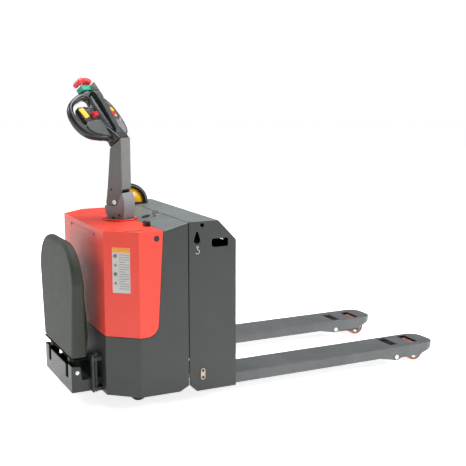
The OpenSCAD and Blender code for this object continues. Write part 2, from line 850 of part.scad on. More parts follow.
module steering_column() {
    color([0.28, 0.3, 0.3]) at_steer() {
        for (y = [-column_y - 12, column_y])
            box_at(-30, 30, y, y + 12, flange_top, column_z);
        box_at(-34, 34, -column_y - 12, column_y + 12, column_z, column_z + 12);
        translate([0, 0, column_z + 12]) cylinder(h = base_z - 20 - column_z - 12, r = 50);
    }
}

module tiller_knuckle() {
    color([0.4, 0.41, 0.41]) at_steer() difference() {
        union() {
            translate([0, 0, base_z - 20]) cylinder(h = 20, r = neck_hole_r - 5);
            box_at(-38, 36, -block_half, block_half, base_z - 1, tilt_z);
            cross_rod(0, -block_half, block_half, tilt_z, 2 * (disc_r - 8));
        }
        cross_rod(0, -60, 60, tilt_z, tilt_pin_d);
    }
}

// Housing round the foot of the arm: two cheeks, a curved front and a floor
module knuckle_cover() {
    floor_top = base_z + 4;
    color([0.5, 0.51, 0.51]) at_steer() difference() {
        side_slab([[-45, tilt_z - 51], [-20, base_z], [44, base_z], [51, tilt_z - 40],
            [51, tilt_z], [48, tilt_z + 20], [40, tilt_z + 40], [34, tilt_z + 39],
            [28, tilt_z + 14], [15, tilt_z - 9], [0, tilt_z - 18], [-17, tilt_z - 16],
            [-49, tilt_z - 14]], arm_w + 8);
        side_slab([[-70, floor_top], [40, floor_top], [47, tilt_z - 40], [47, tilt_z],
            [44, tilt_z + 20], [34, tilt_z + 50], [-70, tilt_z + 50]], arm_w + 2);
        box_at(-38, 36, -block_half, block_half, base_z - 1, tilt_z);
    }
}

module tilt_pin() {
    color([0.75, 0.75, 0.75]) at_steer()
        cross_rod(0, -arm_w / 2 - 2, arm_w / 2 + 2, tilt_z, tilt_pin_d);
}

module drive_tyre() {
    color([0.15, 0.15, 0.15]) at_steer() difference() {
        cross_rod(0, -drive_w / 2, drive_w / 2, drive_d / 2, drive_d);
        cross_rod(0, -drive_w, drive_w, drive_d / 2, drive_d - 50);
    }
}

module drive_hub() {
    color([0.6, 0.6, 0.6]) at_steer() difference() {
        cross_rod(0, -drive_w / 2 + 3, drive_w / 2 - 3, drive_d / 2, drive_d - 50);
        cross_rod(0, -drive_w, drive_w, drive_d / 2, axle_d + 2 * fit);
        for (a = [0 : 60 : 300]) translate([0, 0, drive_d / 2]) rotate([0, a, 0])
            cross_rod(axle_d / 2 + 28, -drive_w, drive_w, 0, 14);
    }
}

// ---- Tiller

arm_side = [[-disc_r, tilt_z], [-37, arm_mid_z],
    [arm_front, head_z + (arm_front - head_x) * tan(head_tilt)],
    [arm_back, head_z + (arm_back - head_x) * tan(head_tilt)], [arm_back + 1, arm_mid_z],
    [arm_back - 6, tilt_z + 42], [arm_back - 6, tilt_z]];

module tiller_arm() {
    color([0.4, 0.42, 0.41]) at_steer() difference() {
        union() {
            side_slab(arm_side, arm_w);
            cross_rod(0, -arm_w / 2, arm_w / 2, tilt_z, 2 * disc_r);
        }
        side_slab([[-70, tilt_z - 70], [70, tilt_z - 70], [70, arm_mid_z - 10],
            [-70, arm_mid_z - 10]], arm_w - 2 * cheek_t);
        side_slab([[-30, arm_mid_z - 11], [arm_back - 6, arm_mid_z - 11],
            [arm_back - 6, head_z - 20], [arm_front + 7, head_z - 50]], arm_w - 2 * cheek_t);
        cross_rod(0, -60, 60, tilt_z, tilt_pin_d + 2 * fit);
        cross_rod(-15, -arm_w, -arm_w / 2 + 6, tilt_z + 52, 8);
    }
}

// One side of the head, folded back about its middle line; s is 1 on the left
module head_side(s) {
    rotate([0, s * head_fold, 0]) children();
}

module head_outline() {
    polygon(smooth(scaled(concat(head_half, reversed(mirrored([for (i = [0 : 9])
        head_half[i]])))), 4));
}

module grip_outline() {
    polygon(smooth(scaled(grip_gap), 3));
}

// Ridge along the middle of the head
module spine_shape() {
    rotate([90, 0, 90]) linear_extrude(height = 36, center = true)
        polygon([[36, loop_m - 5], [36, 27], [90, 36], [215, 44], [240, 40],
            [244, loop_m - 5]]);
}

module head_shell() {
    color([0.16, 0.17, 0.17]) at_head() difference() {
        union() {
            for (s = [1, -1]) head_side(s) linear_extrude(height = loop_t, center = true)
                intersection() {
                    head_outline();
                    translate([s > 0 ? -fold_lap : fold_lap - head_reach, 0])
                        square(head_reach);
                }
            rotate([90, 0, 90]) linear_extrude(height = arm_w, center = true)
                polygon([[0, -34], [0, 35], [70, loop_m], [70, -loop_m]]);
        }
        for (s = [0, 1]) mirror([s, 0, 0]) {
            head_side(1) translate([0, 0, -loop_t]) linear_extrude(height = 2 * loop_t)
                grip_outline();
            translate([knob_in - 2, knob_d, knob_m]) rotate([0, 90, 0])
                cylinder(h = knob_w + 4, r = knob_r + 2 * side_gap);
            translate([knob_in - 2, knob_d - knob_r - 8, knob_m + 4])
                cube([knob_w + 4, 2 * knob_r + 16, 40]);
            head_side(1) translate([button_at[0], button_at[1], loop_m - 10])
                rotate([0, 0, -8]) translate([-button_w / 2 - side_gap, -button_l / 2 - side_gap])
                cube([button_w + 2 * side_gap, button_l + 2 * side_gap, 20]);
        }
        translate([-knob_in - knob_w - 1, knob_d, knob_m]) rotate([0, 90, 0])
            cylinder(h = 2 * (knob_in + knob_w + 1), d = knob_pin_d + 2 * fit);
        spine_shape();
    }
}

module head_spine() {
    color([0.3, 0.31, 0.32]) at_head() spine_shape();
}

module head_bracket() {
    color([0.68, 0.68, 0.66]) at_head() {
        translate([18, 205, loop_m]) cube([14, 78, 4]);
        translate([18, 205, loop_m + 4]) cube([3, 78, 22]);
    }
}

module belly_base() {
    color([0.2, 0.55, 0.42]) at_head() difference() {
        linear_extrude(height = loop_t, center = true)
            polygon([[-46, 261], [46, 261], [42, 284], [-42, 284]]);
        translate([0, 262, 0]) rotate([-90, 0, 0]) cylinder(h = 30, d = 16 + 2 * fit);
    }
}

module belly_button() {
    cap = [for (a = [25 : 10 : 155]) [56 * cos(a), 272 + 54 * sin(a)]];
    color([0.86, 0.22, 0.24]) at_head() {
        linear_extrude(height = 46, center = true)
            polygon(concat([[-54, 293], [54, 293]], cap));
        translate([0, 272, 0]) rotate([-90, 0, 0]) cylinder(h = 24, d = 16);
    }
}

module throttle_shaft() {
    color([0.7, 0.7, 0.7]) at_head() translate([-knob_in - knob_w, knob_d, knob_m])
        rotate([0, 90, 0]) cylinder(h = 2 * (knob_in + knob_w), d = knob_pin_d);
}

module throttle_knob(w) {
    color([0.75, 0.15, 0.18]) at_head() translate([w, knob_d, knob_m]) rotate([90, 0, 90])
        difference() {
            union() {
                cylinder(h = knob_w, r = knob_r);
                linear_extrude(height = knob_w)
                    polygon([[-14, 6], [-9, 25], [7, 27], [14, 6]]);
            }
            translate([0, 0, -1]) cylinder(h = knob_w + 2, d = knob_pin_d);
        }
}

module throttle_knob_left() {
    throttle_knob(knob_in);
}

module throttle_knob_right() {
    throttle_knob(-knob_in - knob_w);
}

module push_button(s) {
    color([0.95, 0.75, 0.15]) at_head() head_side(s)
        translate([s * button_at[0], button_at[1], loop_m - 6]) rotate([0, 0, -8 * s])
        translate([-button_w / 2, -button_l / 2]) cube([button_w, button_l, 9]);
}

module lift_button() {
    push_button(1);
}

module horn_button() {
    push_button(-1);
}

// ---- Casters and platform

module caster() {
    cheek_y = caster_w / 2 + side_gap;
    axle_at = caster_x + caster_trail;
    color([0.55, 0.56, 0.56]) translate([0, caster_y, 0]) {
        for (y = [-cheek_y - caster_cheek, cheek_y])
            side_plate([[axle_at - 12, caster_d / 2 - 10], [axle_at + 12, caster_d / 2 - 10],
                [caster_x + 34, caster_top - 14], [caster_x - 34, caster_top - 14]], y,
                caster_cheek);
        translate([caster_x, 0, caster_top - 14]) cylinder(h = 6, r = 36);
        translate([caster_x, 0, caster_top - 8]) cylinder(h = 8, r = 28);
        translate([caster_x, 0, caster_top - 1]) cylinder(h = 30, d = 20);
        translate([caster_x, 0, shelf_z + shelf_t + 0.5]) cylinder(h = 12, d = 30, $fn = 6);
        cross_rod(axle_at, -cheek_y - caster_cheek - 3, cheek_y + caster_cheek + 3,
            caster_d / 2, 12);
    }
}

module caster_wheel() {
    color([0.2, 0.2, 0.2]) difference() {
        cross_rod(caster_x + caster_trail, caster_y - caster_w / 2, caster_y + caster_w / 2,
            caster_d / 2, caster_d);
        cross_rod(caster_x + caster_trail, caster_y - caster_w, caster_y + caster_w,
            caster_d / 2, 12 + 2 * fit);
    }
}

module caster_left() {
    caster();
}

module caster_right() {
    mirror([0, 1, 0]) caster();
}

module caster_wheel_left() {
    caster_wheel();
}

module caster_wheel_right() {
    mirror([0, 1, 0]) caster_wheel();
}

module platform_deck() {
    straight_top = deck_top - deck_corner;
    color([0.28, 0.31, 0.29]) {
        intersection() {
            translate([x_rear, 0, 0]) rotate([90, 0, 90]) linear_extrude(height = deck_t) {
                polygon([[-deck_half_low, deck_low], [deck_half_low, deck_low],
                    [deck_half_top, straight_top], [-deck_half_top, straight_top]]);
                for (s = [-1, 1]) translate([s * (deck_half_top - deck_corner), straight_top])
                    circle(r = deck_corner);
                translate([-(deck_half_top - deck_corner), straight_top - 1])
                    square([2 * (deck_half_top - deck_corner), deck_corner + 1]);
            }
            side_slab([[x_rear, deck_low], [x_rear + deck_t, deck_low],
                [x_rear + deck_end_t, deck_top], [x_rear, deck_top]], 2 * deck_half_top + 2);
        }
        both_sides() difference() {
            union() {
                box_at(deck_pivot_x - 15, deck_pivot_x + 15, ear_y - ear_t / 2,
                    ear_y + ear_t / 2, deck_pivot_z, deck_low);
                cross_rod(deck_pivot_x, ear_y - ear_t / 2, ear_y + ear_t / 2, deck_pivot_z, 30);
            }
            cross_rod(deck_pivot_x, 0, body_w, deck_pivot_z, deck_pin_d + 2 * fit);
        }
    }
}

chassis_shell();
drive_cover();
cover_boss();
dash_panel();
cover_screws();
drive_plate();
slewing_ring();
hydraulic_unit();
lift_cylinders();
motor_controller();
guide_channels();
platform_bracket();
platform_posts();
platform_pin();
link_anchors();
charge_gauge();
key_switch();
frame_sides();
frame_face();
battery_tray();
lift_brackets();
battery();
fork_left();
fork_right();
frame_pins();
retainer_plates();
retainer_screws();
lift_rams();
round_guard();
battery_lid();
link_shaft();
push_rod_left();
push_rod_right();
bogie_left();
bogie_right();
load_wheel_left();
load_wheel_right();
drive_housing();
drive_motor();
motor_brake();
steering_column();
tiller_knuckle();
knuckle_cover();
tilt_pin();
drive_tyre();
drive_hub();
tiller_arm();
head_shell();
head_spine();
head_bracket();
belly_base();
belly_button();
throttle_shaft();
throttle_knob_left();
throttle_knob_right();
lift_button();
horn_button();
caster_left();
caster_right();
caster_wheel_left();
caster_wheel_right();
platform_deck();
key();
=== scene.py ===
"""Looks of a powered walk-and-ride pallet truck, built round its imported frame."""

import json
import math

import bmesh
import bpy
from mathutils import Matrix, Vector


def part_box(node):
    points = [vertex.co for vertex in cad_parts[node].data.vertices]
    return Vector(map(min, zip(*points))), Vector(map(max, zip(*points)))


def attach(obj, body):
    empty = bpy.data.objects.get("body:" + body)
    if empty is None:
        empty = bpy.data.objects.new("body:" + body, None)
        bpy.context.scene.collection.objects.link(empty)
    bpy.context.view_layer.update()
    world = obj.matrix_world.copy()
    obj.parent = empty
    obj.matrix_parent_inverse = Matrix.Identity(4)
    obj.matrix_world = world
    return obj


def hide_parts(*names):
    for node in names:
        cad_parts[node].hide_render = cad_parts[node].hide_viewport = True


bl_info = {
    "name": "Powered pallet truck",
    "version": (1, 0, 0),
    "blender": (4, 5, 0),
    "location": "View3D > Sidebar > Pallet truck",
    "description": "Finishes a pallet truck: panels, forks, tiller, platform and paint",
    "category": "Object",
}

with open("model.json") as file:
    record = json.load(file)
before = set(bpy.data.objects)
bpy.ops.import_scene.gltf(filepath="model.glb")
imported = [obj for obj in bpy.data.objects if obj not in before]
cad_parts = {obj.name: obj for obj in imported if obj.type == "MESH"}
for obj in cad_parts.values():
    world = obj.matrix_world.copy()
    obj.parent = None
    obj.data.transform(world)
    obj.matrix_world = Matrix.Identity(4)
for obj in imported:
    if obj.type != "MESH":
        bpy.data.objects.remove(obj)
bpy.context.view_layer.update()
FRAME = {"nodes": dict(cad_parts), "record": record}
MM = 0.001
UP = Vector((0, 0, 1))
MERGE = 0.01 * MM
JOINTS = {joint["name"]: joint for joint in FRAME["record"]["behaviour"]["joints"]}


# ---- Places taken from the frame

WEDGE_RISE = 142 * MM  # throttle shaft above the head's origin
WEDGE_BACK = 9 * MM  # and behind the head's middle plane


def joint_at(name):
    return Vector(JOINTS[name]["pos_m"])


def joint_axis(name):
    return Vector(JOINTS[name]["axis"]).normalized()


def axes_matrix(x, y, z, origin):
    """Matrix whose columns are the given axes, placed at origin."""
    turn = Matrix((x, y, z)).transposed().to_4x4()
    return Matrix.Translation(origin) @ turn


def head_place():
    """Head frame: X across, Y up the head, Z out of the control face."""
    across = joint_axis("throttle_turn")
    up = -joint_axis("belly_press")
    out = across.cross(up)
    origin = joint_at("throttle_turn") - up * WEDGE_RISE + out * WEDGE_BACK
    return axes_matrix(across, up, out, origin)


def folded(place, side):
    """Frame of one folded side of the head; side is 1 on the left."""
    fold = joint_axis("lift_press").angle(joint_axis("horn_press")) / 2
    return place @ Matrix.Rotation(side * fold, 4, "Y")


def tiller_place():
    """Tiller frame at the tilt pin: X away from the operator, Y across, Z up."""
    across = -joint_axis("tiller_tilt")
    return axes_matrix(across.cross(UP), across, UP, joint_at("tiller_tilt"))


def side_place(side, x, z, lift):
    """Frame on a side plate of the battery frame: X along the forks, Y up, Z outward."""
    low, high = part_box("frame_sides")
    y = low.y - lift if side < 0 else high.y + lift
    along = Vector((-side, 0, 0))
    return axes_matrix(along, UP, Vector((0, side, 0)), Vector((x, y, z)))


def side_name(side):
    return "left" if side > 0 else "right"


# ---- Settings


class TruckColours(bpy.types.PropertyGroup):
    """Paints and plastics of the truck"""

    def colour(name, description, value):
        return bpy.props.FloatVectorProperty(
            name=name, description=description, subtype="COLOR", size=3, min=0, max=1,
            default=value,
        )

    body: colour("Body", "Paint of the drive unit and the battery frame", (0.028, 0.033, 0.031))
    top: colour("Top", "Paint of the lid and the dash", (0.14, 0.155, 0.155))
    fork: colour("Forks", "Paint of the forks", (0.085, 0.092, 0.095))
    cover: colour("Cover", "Moulded drive cover", (0.78, 0.05, 0.026))
    deck: colour("Platform", "Moulded platform", (0.03, 0.038, 0.027))
    tiller: colour("Tiller", "Paint of the tiller arm", (0.14, 0.145, 0.138))
    knuckle: colour("Knuckle", "Housing round the foot of the arm", (0.24, 0.255, 0.265))
    # Grip and panel colours come in pairs of one plastic: the left ones lighter as a painted
    # highlight, the right ones darker as painted shade.
    grip: colour("Grips", "Right loop of the control head", (0.014, 0.015, 0.016))
    grip_left_lit: colour("Left grip", "Left loop of the control head", (0.075, 0.078, 0.085))
    panel: colour("Panel", "Right panel and ridge of the head", (0.05, 0.056, 0.056))
    panel_left_lit: colour("Left panel", "Left panel of the head", (0.17, 0.175, 0.18))
    knob: colour("Knobs", "Throttle wedges", (0.55, 0.022, 0.035))
    button: colour("Buttons", "Push buttons and round guard", (0.95, 0.5, 0.012))
    belly: colour("Belly switch", "Cap of the belly switch", (0.78, 0.045, 0.055))
    collar: colour("Belly collar", "Collar under the belly switch", (0.03, 0.33, 0.22))
    tread: colour("Load wheels", "Cast tread of the load wheels", (0.3, 0.095, 0.06))
    steel: colour("Steel", "Pins, rams and bright screws", (0.55, 0.55, 0.54))
    dark: colour("Dark metal", "Linkage and inner frame", (0.035, 0.038, 0.038))
    black: colour("Black", "Rubber, screws and trim", (0.012, 0.012, 0.013))
    label: colour("Labels", "Ground colour of the plain labels", (0.5, 0.5, 0.48))


class TruckSizes(bpy.types.PropertyGroup):
    """Edge radii and small details of the truck"""

    def length(name, description, value):
        return bpy.props.FloatProperty(
            name=name, description=description, default=value, min=0, unit="LENGTH",
        )

    sheet_edge: length("Sheet edges", "Radius on folded steel edges", 2.5 * MM)
    cover_edge: length("Cover edges", "Radius on the moulded cover", 1.5 * MM)
    deck_edge: length("Platform edges", "Radius round the platform", 16 * MM)
    deck_corner: length("Platform corners", "Radius of the platform's top corners", 160 * MM)
    arm_edge: length("Tiller edges", "Radius on the tiller arm", 5 * MM)
    loop_edge: length("Grip edges", "Radius on the grip loops", 12 * MM)
    fork_edge: length("Fork edges", "Radius on the forks' folded edges", 4 * MM)
    label_lift: length("Label lift", "How far labels stand off the panel", 0.2 * MM)


def colours():
    return bpy.context.scene.truck_colours


def sizes():
    return bpy.context.scene.truck_sizes


# ---- Materials


def surface(name, colour, rough=0.45, metal=0.0, coat=0.0, mottle=0.06, mottle_size=0.12,
            grain=1.2 * MM, depth=0.05, stretch=(1, 1, 1), rough_spread=0.08):
    """A finish whose tone, gloss and fine relief vary over the piece's own coordinates."""
    if name in bpy.data.materials:
        return bpy.data.materials[name]
    material = bpy.data.materials.new(name)
    material.use_nodes = True
    nodes, links = material.node_tree.nodes, material.node_tree.links
    shader = nodes["Principled BSDF"]
    shader.inputs["Metallic"].default_value = metal
    shader.inputs["Coat Weight"].default_value = coat
    shader.inputs["Coat Roughness"].default_value = 0.12
    place = nodes.new("ShaderNodeTexCoord")
    mapping = nodes.new("ShaderNodeMapping")
    mapping.inputs["Scale"].default_value = stretch
    links.new(place.outputs["Object"], mapping.inputs["Vector"])

    def noise(size, detail):
        node = nodes.new("ShaderNodeTexNoise")
        node.inputs["Scale"].default_value = 1 / size
        node.inputs["Detail"].default_value = detail
        links.new(mapping.outputs["Vector"], node.inputs["Vector"])
        return node

    patches = noise(mottle_size, 6)
    tone = nodes.new("ShaderNodeValToRGB")
    tone.color_ramp.elements[0].position = 0.3
    tone.color_ramp.elements[1].position = 0.7
    tone.color_ramp.elements[0].color = [c * (1 - mottle) for c in colour] + [1]
    tone.color_ramp.elements[1].color = [min(1, c * (1 + mottle)) for c in colour] + [1]
    links.new(patches.outputs["Fac"], tone.inputs["Fac"])
    links.new(tone.outputs["Color"], shader.inputs["Base Color"])
    gloss = nodes.new("ShaderNodeMapRange")
    gloss.inputs["To Min"].default_value = max(0, rough - rough_spread)
    gloss.inputs["To Max"].default_value = min(1, rough + rough_spread)
    links.new(noise(mottle_size / 5, 4).outputs["Fac"], gloss.inputs["Value"])
    links.new(gloss.outputs["Result"], shader.inputs["Roughness"])
    relief = nodes.new("ShaderNodeBump")
    relief.inputs["Strength"].default_value = depth
    relief.inputs["Distance"].default_value = grain / 4
    links.new(noise(grain, 3).outputs["Fac"], relief.inputs["Height"])
    links.new(relief.outputs["Normal"], shader.inputs["Normal"])
    return material


def powder_coat(name, colour):
    return surface(name, colour, rough=0.42, mottle=0.07, grain=2.2 * MM, depth=0.12)


def body_paint():
    return powder_coat("body powder coat", colours().body)


def top_paint():
    return powder_coat("top powder coat", colours().top)


def fork_paint():
    return surface("fork paint", colours().fork, rough=0.38, mottle=0.12, mottle_size=0.09,
                   grain=2.5 * MM, depth=0.1)


def cover_plastic():
    return surface("cover plastic", colours().cover, rough=0.4, mottle=0.03,
                   grain=9 * MM, depth=0.004, rough_spread=0.03)


def deck_plastic():
    return surface("platform plastic", colours().deck, rough=0.7, mottle=0.06,
                   grain=1.0 * MM, depth=0.25)


def tiller_paint():
    return powder_coat("tiller powder coat", colours().tiller)


def knuckle_paint():
    return powder_coat("knuckle powder coat", colours().knuckle)


# The side picks the copy of one grip plastic: lighter on the left as a painted highlight,
# darker on the right as painted shade.
def grip_plastic(side=-1):
    name, colour = (("lit left grip plastic", colours().grip_left_lit) if side > 0 else
                    ("right grip plastic", colours().grip))
    return surface(name, colour, rough=0.34, mottle=0.1, grain=0.8 * MM, depth=0.15)


# The side picks the copy of one panel plastic: lighter on the left as a painted highlight,
# darker on the right as painted shade.
def panel_plastic(side=-1):
    name, colour = (("lit left panel plastic", colours().panel_left_lit) if side > 0 else
                    ("right panel plastic", colours().panel))
    return surface(name, colour, rough=0.4, mottle=0.06, grain=0.8 * MM, depth=0.2)


def knob_plastic():
    return surface("knob plastic", colours().knob, rough=0.34, mottle=0.05, depth=0.05)


def button_plastic():
    return surface("button plastic", colours().button, rough=0.3, mottle=0.04, depth=0.04)


def belly_plastic():
    return surface("belly cap plastic", colours().belly, rough=0.35, mottle=0.05, depth=0.05)


def collar_plastic():
    return surface("belly collar plastic", colours().collar, rough=0.4, mottle=0.05)


def tread_plastic():
    return surface("cast tread", colours().tread, rough=0.45, mottle=0.18, mottle_size=0.03,
                   grain=2 * MM, depth=0.15)


def bright_steel():
    return surface("turned steel", colours().steel, rough=0.3, metal=0.95, mottle=0.08,
                   mottle_size=0.02, grain=0.6 * MM, depth=0.1, stretch=(1, 1, 6))


def dark_metal():
    return surface("dark frame paint", colours().dark, rough=0.5, mottle=0.15, grain=1.6 * MM,
                   depth=0.2)


def cast_iron():
    return surface("cast housing", (0.1, 0.105, 0.11), rough=0.6, metal=0.4, mottle=0.2,
                   mottle_size=0.04, grain=1.5 * MM, depth=0.5)


def black_rubber():
    return surface("black rubber", colours().black, rough=0.62, mottle=0.25, grain=1 * MM,
                   depth=0.25)


def black_trim():
    return surface("black trim", colours().black, rough=0.4, mottle=0.2, depth=0.1)


def label_film():
    return surface("label film", colours().label, rough=0.35, mottle=0.03, depth=0.02)


def tan_plate():
    return surface("tan passivated plate", (0.46, 0.38, 0.29), rough=0.38, metal=0.35,
                   mottle=0.1, mottle_size=0.02)


# ---- Making pieces


def finished(piece, body, slot, material, *replaced):
    """Hands a piece to its body and gives it its finish."""
    piece.data.materials.clear()
    piece.data.materials.append(material)
    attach(piece, body)
    if replaced:
        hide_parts(*replaced)
    return piece


def mesh_piece(name, bm, place=None):
    """A new object from a bmesh, with its place in its mesh."""
    if place is not None:
        bmesh.ops.transform(bm, matrix=place, verts=bm.verts)
    bmesh.ops.recalc_face_normals(bm, faces=bm.faces)
    mesh = bpy.data.meshes.new(name)
    bm.to_mesh(mesh)
    bm.free()
    mesh.polygons.foreach_set("use_smooth", [True] * len(mesh.polygons))
    piece = bpy.data.objects.new(name, mesh)
    bpy.context.scene.collection.objects.link(piece)
    return piece


def flat_faces(piece):
    """Keeps the flats of a rounded piece flat in its shading."""
    piece.modifiers.new("Flat faces", "WEIGHTED_NORMAL").weight = 90
    return piece


def round_edges(piece, radius, segments=3, sharp=math.radians(28)):
    """Bevels every sharp edge, less where the faces beside it are narrow."""
    bm = bmesh.new()
    bm.from_mesh(piece.data)
    weight = bm.edges.layers.float.new("bevel_weight_edge")
    for edge in bm.edges:
        if len(edge.link_faces) == 2 and edge.calc_face_angle(0) > sharp:
            length = max(edge.calc_length(), 1e-6)
            room = min(face.calc_area() for face in edge.link_faces) / length
            edge[weight] = min(1, 0.38 * room / radius)
    bm.to_mesh(piece.data)
    bm.free()
    bevel = piece.modifiers.new("Rounded edges", "BEVEL")
    bevel.limit_method = "WEIGHT"
    bevel.width = radius
    bevel.segments = segments
    bevel.use_clamp_overlap = False
    return flat_faces(piece)


def softened(name, node, radius, segments=3, joined=True):
    """A copy of a frame node with its flat faces joined, if wanted, and its edges rounded."""
    bm = bmesh.new()
    bm.from_mesh(FRAME["nodes"][node].data)
    bmesh.ops.remove_doubles(bm, verts=bm.verts, dist=MERGE)
    if joined:
        bmesh.ops.dissolve_limit(bm, angle_limit=math.radians(0.8), verts=bm.verts,
                                 edges=bm.edges)
    return round_edges(mesh_piece(name, bm), radius, segments)


def turned(name, outline, centre, axis, angle=math.tau, steps=72, start=(1, 0, 0)):
    """Spins an outline of (radius, height) points about an axis through centre."""
    axis = Vector(axis).normalized()
    side = (Vector(start) - axis * axis.dot(Vector(start))).normalized()
    bm = bmesh.new()
    points = [bm.verts.new((radius, 0, height)) for radius, height in outline]
    edges = [bm.edges.new(pair) for pair in zip(points, points[1:] + points[:1])]
    closed = angle > math.tau - 0.01
    bmesh.ops.spin(bm, geom=points + edges, cent=(0, 0, 0), axis=(0, 0, 1), angle=angle,
                   steps=steps, use_merge=closed, use_duplicate=False)
    if not closed:
        bmesh.ops.holes_fill(bm, edges=bm.edges, sides=0)
    bmesh.ops.remove_doubles(bm, verts=bm.verts, dist=0.001 * MM)
    return mesh_piece(name, bm, axes_matrix(side, axis.cross(side), axis, Vector(centre)))


def plate(name, outlines, thickness, edge, place, base=0.0):
    """A plate with rounded rims. The first outline is its rim, the others are holes."""
    curve = bpy.data.curves.new(name, "CURVE")
    curve.dimensions = "2D"
    curve.fill_mode = "BOTH"
    curve.resolution_u = 8
    curve.extrude = max(thickness / 2 - edge, 0)
    curve.bevel_depth = edge
    curve.bevel_resolution = 4
    for outline in outlines:
        spline = curve.splines.new("BEZIER")
        spline.bezier_points.add(len(outline) - 1)
        for point, (x, y) in zip(spline.bezier_points, outline):
            point.co = (x, y, 0)
            point.handle_left_type = point.handle_right_type = "AUTO"
        spline.use_cyclic_u = True
    holder = bpy.data.objects.new(name + "_curve", curve)
    bpy.context.scene.collection.objects.link(holder)
    evaluated = holder.evaluated_get(bpy.context.evaluated_depsgraph_get())
    mesh = bpy.data.meshes.new_from_object(evaluated)
    bpy.data.objects.remove(holder)
    bm = bmesh.new()
    bm.from_mesh(mesh)
    bpy.data.meshes.remove(mesh)
    bmesh.ops.remove_doubles(bm, verts=bm.verts, dist=MERGE)
    lift = Matrix.Translation((0, 0, base + thickness / 2))
    return flat_faces(mesh_piece(name, bm, place @ lift))


def block(name, size, place, radius, segments=3):
    """A box with rounded edges, centred on place."""
    bm = bmesh.new()
    bmesh.ops.create_cube(bm, size=1)
    bmesh.ops.scale(bm, vec=size, verts=bm.verts)
    bmesh.ops.bevel(bm, geom=bm.edges[:], offset=radius, segments=segments, profile=0.5,
                    affect="EDGES", material=-1)
    return flat_faces(mesh_piece(name, bm, place))


def arc(centre, radius, first, last, steps):
    """Points on an arc, angles in degrees."""
    for i in range(steps + 1):
        angle = math.radians(first + (last - first) * i / steps)
        yield (centre[0] + radius * math.cos(angle), centre[1] + radius * math.sin(angle))


def rounded_ring(inner, outer, half, edge):
    """Outline of a wheel or ring for turned(): rounded outer corners, square bore."""
    outline = [(inner, half), (inner, -half)]
    outline += list(arc((outer - edge, -half + edge), edge, -90, 0, 5))
    outline += list(arc((outer - edge, half - edge), edge, 0, 90, 5))
    return outline


def inset(points, distance):
    """A closed outline moved inward, or outward where distance is below zero."""
    count = len(points)
    area = sum(points[i][0] * points[(i + 1) % count][1] -
               points[(i + 1) % count][0] * points[i][1] for i in range(count))
    sign = 1 if area > 0 else -1
    moved = []
    for i in range(count):
        here = Vector(points[i])
        before = (here - Vector(points[i - 1])).normalized()
        after = (Vector(points[(i + 1) % count]) - here).normalized()
        first = Vector((-before.y, before.x)) * sign
        second = Vector((-after.y, after.x)) * sign
        middle = (first + second).normalized()
        moved.append(tuple(here + middle * distance / max(middle.dot(first), 0.5)))
    return moved


def ring_edges(bm, points):
    """A closed loop of edges through points."""
    verts = [bm.verts.new(point) for point in points]
    return [bm.edges.new((a, b)) for a, b in zip(verts, verts[1:] + verts[:1])]


def dress(material, *nodes):
    """Gives frame nodes that keep their shape a finish."""
    for node in nodes:
        slots = FRAME["nodes"][node].data.materials
        slots.clear()
        slots.append(material)


# ---- Drive unit and battery frame


class TRUCK_OT_body(bpy.types.Operator):
    """Make the painted steel of the drive unit and the battery frame"""

    bl_idname = "truck.body"
    bl_label = "Body panels"

    def execute(self, context):
        edge = sizes().sheet_edge
        finished(softened("unit_shell", "chassis_shell", edge), "chassis", "body_paint",
                 body_paint(), "chassis_shell")
        for node in ("frame_sides", "frame_face"):
            finished(softened(node + "_skin", node, edge), "load_frame", "body_paint",
                     body_paint(), node)
        dress(dark_metal(), "battery_tray", "lift_brackets")
        finished(softened("dash", "dash_panel", edge), "chassis", "top_paint", top_paint(),
                 "dash_panel")
        finished(softened("lid", "battery_lid", edge), "lid", "top_paint", top_paint(),
                 "battery_lid")
        self.retainers()
        return {"FINISHED"}

    def retainers(self):
        """Oblong plates that keep the cross shaft in, with their screws."""
        dress(tan_plate(), "retainer_plates")
        dress(black_trim(), "retainer_screws")


class TRUCK_OT_cover(bpy.types.Operator):
    """Make the moulded drive cover, the boss round the tiller and their fasteners"""

    bl_idname = "truck.cover"
    bl_label = "Drive cover"

    def execute(self, context):
        skin = softened("cover_skin", "drive_cover", sizes().cover_edge, 2, joined=False)
        finished(skin, "chassis", "cover_red", cover_plastic(), "drive_cover")
        finished(softened("boss", "cover_boss", 3 * MM), "chassis", "cover_red",
                 cover_plastic(), "cover_boss")
        dress(black_trim(), "cover_screws")
        return {"FINISHED"}


class TRUCK_OT_forks(bpy.types.Operator):
    """Make the forks, the load arms and the load wheels"""

    bl_idname = "truck.forks"
    bl_label = "Forks and load wheels"

    def execute(self, context):
        for side in ("left", "right"):
            finished(softened("fork_" + side + "_plate", "fork_" + side, sizes().fork_edge),
                     "load_frame", "fork_paint", fork_paint(), "fork_" + side)
            self.wheel(side)
        dress(dark_metal(), "bogie_left", "bogie_right", "push_rod_left", "push_rod_right",
              "link_shaft")
        dress(bright_steel(), "frame_pins")
        return {"FINISHED"}

    def wheel(self, side):
        """A cast tread on a core with a recessed web."""
        low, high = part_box("load_wheel_" + side)
        radius = (high.z - low.z) / 2
        half = (high.y - low.y) / 2
        centre = (low + high) / 2
        rim = radius - 12 * MM
        tread = turned("load_tread_" + side, rounded_ring(rim, radius, half, 4 * MM),
                       centre, (0, 1, 0))
        finished(tread, "load_roller_" + side, "load_wheel_poly", tread_plastic(),
                 "load_wheel_" + side)
        bore = 10.1 * MM
        web = half - 9 * MM
        hub = half - 1 * MM
        outline = [(bore, hub), (bore, -hub), (bore + 6 * MM, -hub), (bore + 7 * MM, -web),
                   (rim - 6 * MM, -web), (rim - 4 * MM, -hub), (rim, -hub), (rim, hub),
                   (rim - 4 * MM, hub), (rim - 6 * MM, web), (bore + 7 * MM, web),
                   (bore + 6 * MM, hub)]
        core = turned("load_core_" + side, outline, centre, (0, 1, 0), steps=48)
        finished(core, "load_roller_" + side, "bright_steel", bright_steel())


